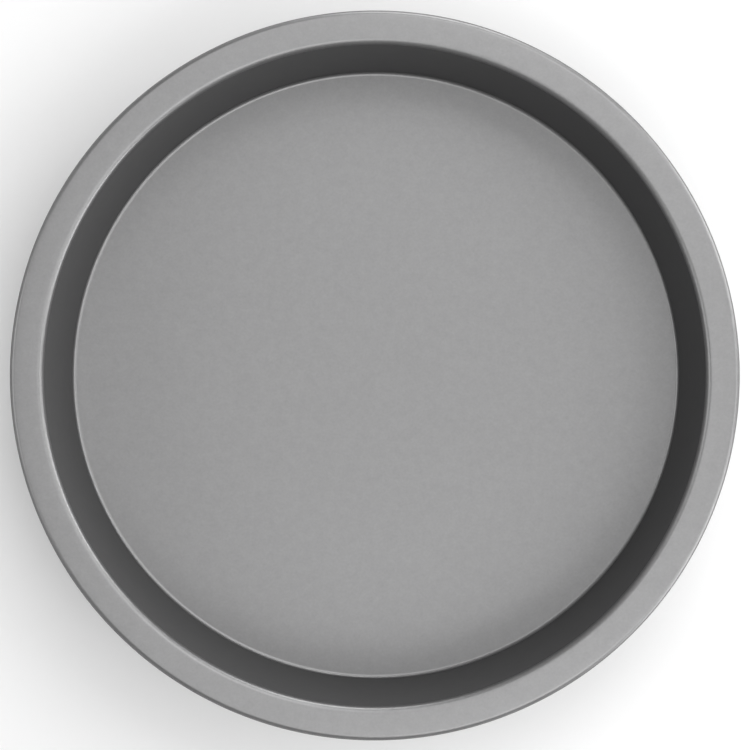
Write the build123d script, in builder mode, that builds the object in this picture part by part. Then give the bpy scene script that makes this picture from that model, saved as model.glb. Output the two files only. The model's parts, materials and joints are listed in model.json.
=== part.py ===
"""Round bath pan for small pets, pressed from one disc of coated sheet steel.

The pan has a flat floor, a steep wall with a little draft and a broad level rim. The rim's outer edge is
curled down and round a ring of steel wire, which keeps the thin rim stiff.

Millimetres, +Z up. The origin is on the pan's axis, in the plane that it stands on. Sections are drawn in
Plane.XZ, where x is the distance from the axis, and revolved about Z.
"""

from math import asin, cos, degrees, radians, tan
import os

from build123d import *

# Driving dimensions
rim_diameter = 254.0  # over the curled edge
rim_width = 11.6  # from over the curled edge in to where the wall's inner face would meet the rim's top face
pan_height = 50.0  # from the plane it stands on to the rim's top face
sheet_thickness = 0.8
wall_draft = 6.4  # degrees from vertical, opening upwards
floor_corner_radius = 1.5  # inside, between floor and wall
rim_bend_radius = 2.4  # on top, between wall and rim
wire_diameter = 2.0
wire_clearance = 0.05  # between the wire and the sheet curled round it
wire_butt_gap = 1.0  # between the two ends of the wire ring
curl_gap = 0.35  # between the curl's cut edge and the rim's underside

# Worked out from them
mouth_radius = rim_diameter / 2 - rim_width
wire_radius = wire_diameter / 2
curl_radius = wire_radius + wire_clearance + sheet_thickness
curl_centre = (rim_diameter / 2 - curl_radius, pan_height - curl_radius)
# The sheet turns three quarters round the wire, then on until its cut edge is curl_gap under the rim.
curl_angle = 270 + degrees(asin(1 - (sheet_thickness + curl_gap) / curl_radius))
wire_arc = 360 - degrees(wire_butt_gap / curl_centre[0])


def wall_face(height, depth):
    """The point at that height on the wall's face that lies depth under the sheet's upper face."""
    upper_face = mouth_radius - (pan_height - height) * tan(radians(wall_draft))
    return (upper_face + depth / cos(radians(wall_draft)), height)


def sheet_face(depth):
    """Draws the sheet's face that lies depth under its upper face, from the axis to the curl's cut edge."""
    floor_height = sheet_thickness - depth
    rim_height = pan_height - depth
    flats = FilletPolyline(
        (0, floor_height),
        wall_face(floor_height, depth),
        wall_face(rim_height, depth),
        (curl_centre[0], rim_height),
        radius=[floor_corner_radius + depth, rim_bend_radius - depth],
    )
    curl = CenterArc(curl_centre, curl_radius - depth, 90, -curl_angle)
    return flats @ 0, curl @ 1


def make_pan():
    """The pressed sheet, from its two faces joined on the axis and across the cut edge."""
    with BuildPart() as pan:
        with BuildSketch(Plane.XZ):
            with BuildLine():
                upper_start, upper_end = sheet_face(depth=0)
                lower_start, lower_end = sheet_face(depth=sheet_thickness)
                Line(upper_start, lower_start)
                Line(upper_end, lower_end)
            make_face()
        revolve(axis=Axis.Z)
    pan.part.label = "pan"
    return pan.part


def make_rim_wire():
    """The stiffening wire inside the curl: a ring whose two cut ends butt together."""
    with BuildPart() as rim_wire:
        with BuildSketch(Plane.XZ):
            with Locations(curl_centre):
                Circle(wire_radius)
        revolve(axis=Axis.Z, revolution_arc=wire_arc)
    rim_wire.part.label = "rim_wire"
    return rim_wire.part


os.makedirs("parts", exist_ok=True)
for piece in (make_pan(), make_rim_wire()):
    export_step(piece, f"parts/{piece.label}.step")
    print(piece.label, "volume", round(piece.volume, 1), "size", piece.bounding_box().size)
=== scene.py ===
"""A round bath pan for small pets in satin grey coated steel, on a pale floor in soft studio light.

Metres, +Z up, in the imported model's frame: the origin is on the pan's axis, in the plane that it stands on.
The pan is a finer mesh of the same section as its CAD node, revolved about Z, and the rim's stiffening
wire is the CAD node itself with a drawn-steel finish. The camera looks down into the pan.
"""

import json
import math

import bpy
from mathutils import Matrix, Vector


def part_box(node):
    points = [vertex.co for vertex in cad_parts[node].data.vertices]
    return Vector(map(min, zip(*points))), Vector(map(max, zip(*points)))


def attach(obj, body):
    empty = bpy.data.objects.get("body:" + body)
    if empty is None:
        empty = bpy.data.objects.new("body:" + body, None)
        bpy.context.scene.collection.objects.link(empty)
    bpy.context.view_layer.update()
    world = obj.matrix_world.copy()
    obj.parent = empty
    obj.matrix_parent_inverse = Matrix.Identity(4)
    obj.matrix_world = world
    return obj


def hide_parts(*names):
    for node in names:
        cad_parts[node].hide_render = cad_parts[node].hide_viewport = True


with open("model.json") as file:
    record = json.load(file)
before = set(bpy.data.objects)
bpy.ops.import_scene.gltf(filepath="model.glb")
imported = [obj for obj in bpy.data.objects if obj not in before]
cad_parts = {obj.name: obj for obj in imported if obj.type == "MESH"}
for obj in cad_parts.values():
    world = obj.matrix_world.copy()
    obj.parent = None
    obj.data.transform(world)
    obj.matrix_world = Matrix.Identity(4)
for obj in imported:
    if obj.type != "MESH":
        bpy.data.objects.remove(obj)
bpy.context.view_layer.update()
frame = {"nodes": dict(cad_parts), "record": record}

# Sizes from the frame
pan_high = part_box("pan")[1]
wire_low, wire_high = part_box("rim_wire")
mounts = {mount["name"]: mount for mount in frame["record"]["mounts"]}
rim_radius = pan_high.x
pan_height = pan_high.z
sheet_thickness = mounts["floor"]["pos_m"][2]
wire_radius = (wire_high.z - wire_low.z) / 2

# Sizes that the frame doesn't give, as in the CAD source
rim_width = 0.0116
wall_draft = math.radians(6.4)
floor_corner_radius = 0.0015
rim_bend_radius = 0.0024
wire_clearance = 0.00005
curl_gap = 0.00035

# Worked out from them
mouth_radius = rim_radius - rim_width
curl_radius = wire_radius + wire_clearance + sheet_thickness
curl_centre = (rim_radius - curl_radius, pan_height - curl_radius)
curl_angle = 1.5 * math.pi + math.asin(1 - (sheet_thickness + curl_gap) / curl_radius)

# How finely the pan is meshed
segments = 320
bend_steps = 14
curl_steps = 48
floor_ring_spacing = 0.006
wall_rings = 12
rim_rings = 3
crease_angle = math.radians(40)

# Colours
coating_colour = (0.275, 0.274, 0.276)
steel_colour = (0.62, 0.62, 0.63)
floor_colour = (0.90, 0.90, 0.90)

# The camera is above the rim, a little to the right of the pan's axis. The picture is frame_width wide at
# the height of the curl's middle.
camera_distance = 1.1
camera_offset = (0.009, 0.003)
aim_point = (0.0002, 0.0002, pan_height)
frame_width = 0.261
sensor_width = 36.0

# The floor lies just under the pan.
floor_reach = 6.0
floor_gap = 0.0002

# The lights stand on a dome round the pan. Azimuth 0 is +X, and 90 is +Y. Angles are in degrees.
dome_radius = 1.5
studio_brightness = 0.25
light_rows = [
    # name, elevation, azimuths, width, height, watts of each
    ("overhead", 75, (-90, 90), 0.8, 0.8, 2.5),
    ("key", 55, (-60, 60), 1.2, 0.8, 6.0),
    ("fill", 40, (0, 180), 1.0, 0.6, 4.0),
    ("low", 12, (-30, 25, 80), 0.9, 0.5, 7.5),
]


def wall_face(height, depth):
    """The (radius, height) at that height on the wall's face that lies depth under the sheet's upper face."""
    upper_face = mouth_radius - (pan_height - height) * math.tan(wall_draft)
    return upper_face + depth / math.cos(wall_draft), height


def straight(start, end, count):
    """count points on the way from start to end, without start and with end."""
    return [
        tuple(a + (b - a) * step / count for a, b in zip(start, end))
        for step in range(1, count + 1)
    ]


def arc(centre, radius, start, end, count):
    """count + 1 points on an arc between two angles."""
    angles = (start + (end - start) * step / count for step in range(count + 1))
    return [(centre[0] + radius * math.cos(a), centre[1] + radius * math.sin(a)) for a in angles]


def fillet(corner, before, after, radius):
    """The arc of that radius that rounds a corner between the points before and after it."""
    corner, before, after = (Vector(point) for point in (corner, before, after))
    inwards = (before - corner).normalized()
    outwards = (after - corner).normalized()
    half = inwards.angle(outwards) / 2
    centre = corner + (inwards + outwards).normalized() * radius / math.sin(half)
    start = corner + inwards * radius / math.tan(half) - centre
    turn = (corner + outwards * radius / math.tan(half) - centre).angle_signed(start)
    first = math.atan2(start.y, start.x)
    return arc(centre, radius, first, first + turn, bend_steps)


def sheet_face(depth):
    """The sheet's face that lies depth under its upper face, from the axis to the curl's cut edge."""
    axis = (0.0, sheet_thickness - depth)
    foot = wall_face(axis[1], depth)
    top = wall_face(pan_height - depth, depth)
    rim_end = (curl_centre[0], pan_height - depth)
    floor_corner = fillet(foot, axis, top, floor_corner_radius + depth)
    rim_bend = fillet(top, foot, rim_end, rim_bend_radius - depth)
    floor_rings = round(floor_corner[0][0] / floor_ring_spacing)
    curl = arc(curl_centre, curl_radius - depth, math.pi / 2, math.pi / 2 - curl_angle, curl_steps)
    return [
        axis,
        *straight(axis, floor_corner[0], floor_rings),
        *floor_corner[1:],
        *straight(floor_corner[-1], rim_bend[0], wall_rings),
        *rim_bend[1:],
        *straight(rim_bend[-1], curl[0], rim_rings),
        *curl[1:],
    ]


def revolved(name, section):
    """A closed mesh from a section whose first and last points are on the axis, revolved about Z."""
    rings = section[1:-1]
    turns = [2 * math.pi * step / segments for step in range(segments)]
    vertices = [(r * math.cos(a), r * math.sin(a), z) for r, z in rings for a in turns]
    vertices += [(0.0, 0.0, section[0][1]), (0.0, 0.0, section[-1][1])]
    first_pole = len(rings) * segments
    faces = []
    for step in range(segments):
        following = (step + 1) % segments
        faces.append((first_pole, step, following))
        for ring in range(len(rings) - 1):
            a, b = ring * segments, (ring + 1) * segments
            faces.append((a + step, b + step, b + following, a + following))
        last = (len(rings) - 1) * segments
        faces.append((first_pole + 1, last + following, last + step))
    mesh = bpy.data.meshes.new(name)
    mesh.from_pydata(vertices, [], faces)
    mesh.shade_smooth()
    mesh.set_sharp_from_angle(angle=crease_angle)
    piece = bpy.data.objects.new(name, mesh)
    bpy.context.scene.collection.objects.link(piece)
    return piece


def node_material(name):
    """A new material, with its node tree and its Principled shader."""
    material = bpy.data.materials.new(name)
    material.use_nodes = True
    return material, material.node_tree, material.node_tree.nodes["Principled BSDF"]


def object_position(tree, stretch=(1, 1, 1)):
    """The surface point in the object's own frame, in metres, stretched along its axes."""
    coordinates = tree.nodes.new("ShaderNodeTexCoord")
    mapping = tree.nodes.new("ShaderNodeMapping")
    mapping.inputs["Scale"].default_value = stretch
    tree.links.new(coordinates.outputs["Object"], mapping.inputs["Vector"])
    return mapping.outputs["Vector"]


def noise(tree, position, feature_size, detail):
    """Noise from 0 to 1 whose largest features are about feature_size metres across."""
    share_of_next_octave = 0.6
    node = tree.nodes.new("ShaderNodeTexNoise")
    node.inputs["Scale"].default_value = 1 / feature_size
    node.inputs["Detail"].default_value = detail
    node.inputs["Roughness"].default_value = share_of_next_octave
    tree.links.new(position, node.inputs["Vector"])
    return node.outputs["Fac"]


def spread(tree, value, low, high):
    """Maps the range that most of a noise's values fall in onto low to high."""
    usual_low, usual_high = 0.3, 0.7
    node = tree.nodes.new("ShaderNodeMapRange")
    node.inputs["From Min"].default_value = usual_low
    node.inputs["From Max"].default_value = usual_high
    node.inputs["To Min"].default_value = low
    node.inputs["To Max"].default_value = high
    tree.links.new(value, node.inputs["Value"])
    return node.outputs["Result"]


def tinted(tree, colour, *factors):
    """A colour multiplied by each factor in turn."""
    result = None
    for factor in factors:
        node = tree.nodes.new("ShaderNodeVectorMath")
        node.operation = "SCALE"
        if result is None:
            node.inputs["Vector"].default_value = colour
        else:
            tree.links.new(result, node.inputs["Vector"])
        tree.links.new(factor, node.inputs["Scale"])
        result = node.outputs["Vector"]
    return result


def bumped(tree, shader, height, rise):
    """Gives the shader a relief of that height map, rise metres deep."""
    node = tree.nodes.new("ShaderNodeBump")
    node.inputs["Strength"].default_value = 1.0
    node.inputs["Distance"].default_value = rise
    tree.links.new(height, node.inputs["Height"])
    tree.links.new(node.outputs["Normal"], shader.inputs["Normal"])


def satin_coating():
    """Sprayed grey metallic coating: a fine grain with soft clouds, and a faint orange peel."""
    material, tree, shader = node_material("satin_grey_coating")
    position = object_position(tree)
    grain = noise(tree, position, feature_size=0.0010, detail=3.0)
    clouds = noise(tree, position, feature_size=0.0030, detail=2.0)
    peel = noise(tree, position, feature_size=0.0006, detail=2.0)
    grain_tint = spread(tree, grain, low=0.96, high=1.04)
    cloud_tint = spread(tree, clouds, low=0.97, high=1.03)
    colour = tinted(tree, coating_colour, grain_tint, cloud_tint)
    roughness = spread(tree, grain, low=0.36, high=0.40)
    tree.links.new(colour, shader.inputs["Base Color"])
    tree.links.new(roughness, shader.inputs["Roughness"])
    bumped(tree, shader, peel, rise=0.000004)
    shader.inputs["Metallic"].default_value = 0.80
    shader.inputs["Specular Tint"].default_value = (0, 0, 0, 1)
    return material


def drawn_steel():
    """Bright steel wire with fine die lines."""
    material, tree, shader = node_material("drawn_steel")
    position = object_position(tree, stretch=(1, 1, 8))
    lines = noise(tree, position, feature_size=0.0016, detail=4.0)
    colour = tinted(tree, steel_colour, spread(tree, lines, low=0.92, high=1.05))
    roughness = spread(tree, lines, low=0.28, high=0.38)
    tree.links.new(colour, shader.inputs["Base Color"])
    tree.links.new(roughness, shader.inputs["Roughness"])
    bumped(tree, shader, lines, rise=0.000006)
    shader.inputs["Metallic"].default_value = 1.0
    return material


def pale_floor():
    """Matt white board with the faintest unevenness."""
    material, tree, shader = node_material("pale_floor")
    fibres = noise(tree, object_position(tree), feature_size=0.004, detail=3.0)
    colour = tinted(tree, floor_colour, spread(tree, fibres, low=0.998, high=1.002))
    tree.links.new(colour, shader.inputs["Base Color"])
    shader.inputs["Roughness"].default_value = 0.9
    return material


def make_floor():
    """The plain floor, just under the pan."""
    signs = [(-1, -1), (1, -1), (1, 1), (-1, 1)]
    corners = [(x * floor_reach, y * floor_reach, -floor_gap) for x, y in signs]
    mesh = bpy.data.meshes.new("floor")
    mesh.from_pydata(corners, [], [(0, 1, 2, 3)])
    floor = bpy.data.objects.new("floor", mesh)
    floor.data.materials.append(pale_floor())
    bpy.context.scene.collection.objects.link(floor)


def make_panel(name, azimuth, elevation, width, height, watts):
    """A soft rectangular light on the dome, turned to the middle of the pan."""
    data = bpy.data.lights.new(name, "AREA")
    data.shape = "RECTANGLE"
    data.size = width
    data.size_y = height
    data.energy = watts
    lamp = bpy.data.objects.new(name, data)
    around = math.radians(azimuth)
    up = math.radians(elevation)
    outwards = Vector((math.cos(up) * math.cos(around), math.cos(up) * math.sin(around), math.sin(up)))
    lamp.location = Vector((0, 0, pan_height)) + dome_radius * outwards
    lamp.rotation_euler = (math.pi / 2 - up, 0, around + math.pi / 2)
    lamp.visible_camera = False
    bpy.context.scene.collection.objects.link(lamp)


def make_camera():
    """Looks down on the pan, which nearly fills the picture."""
    data = bpy.data.cameras.new("camera")
    data.sensor_width = sensor_width
    data.lens = sensor_width * (camera_distance + curl_radius) / frame_width
    camera = bpy.data.objects.new("camera", data)
    camera.location = (*camera_offset, pan_height + camera_distance)
    sight = (Vector(aim_point) - camera.location).normalized()
    camera.rotation_euler = (math.asin(sight.y), math.atan2(-sight.x, -sight.z), 0)
    bpy.context.scene.collection.objects.link(camera)
    bpy.context.scene.camera = camera


def make_studio():
    """Even light from all round."""
    world = bpy.data.worlds.new("studio")
    world.use_nodes = True
    background = world.node_tree.nodes["Background"]
    background.inputs["Color"].default_value = (1, 1, 1, 1)
    background.inputs["Strength"].default_value = studio_brightness
    bpy.context.scene.world = world


pan = revolved("pan_shell", sheet_face(0.0) + sheet_face(sheet_thickness)[::-1])
pan.data.materials.append(satin_coating())
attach(pan, "root")
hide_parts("pan")

for slot in frame["nodes"]["rim_wire"].material_slots:
    slot.material = drawn_steel()

make_floor()
make_camera()
make_studio()
for name, elevation, azimuths, width, height, watts in light_rows:
    for azimuth in azimuths:
        make_panel(name, azimuth, elevation, width, height, watts)
bpy.context.scene.view_settings.view_transform = "Standard"
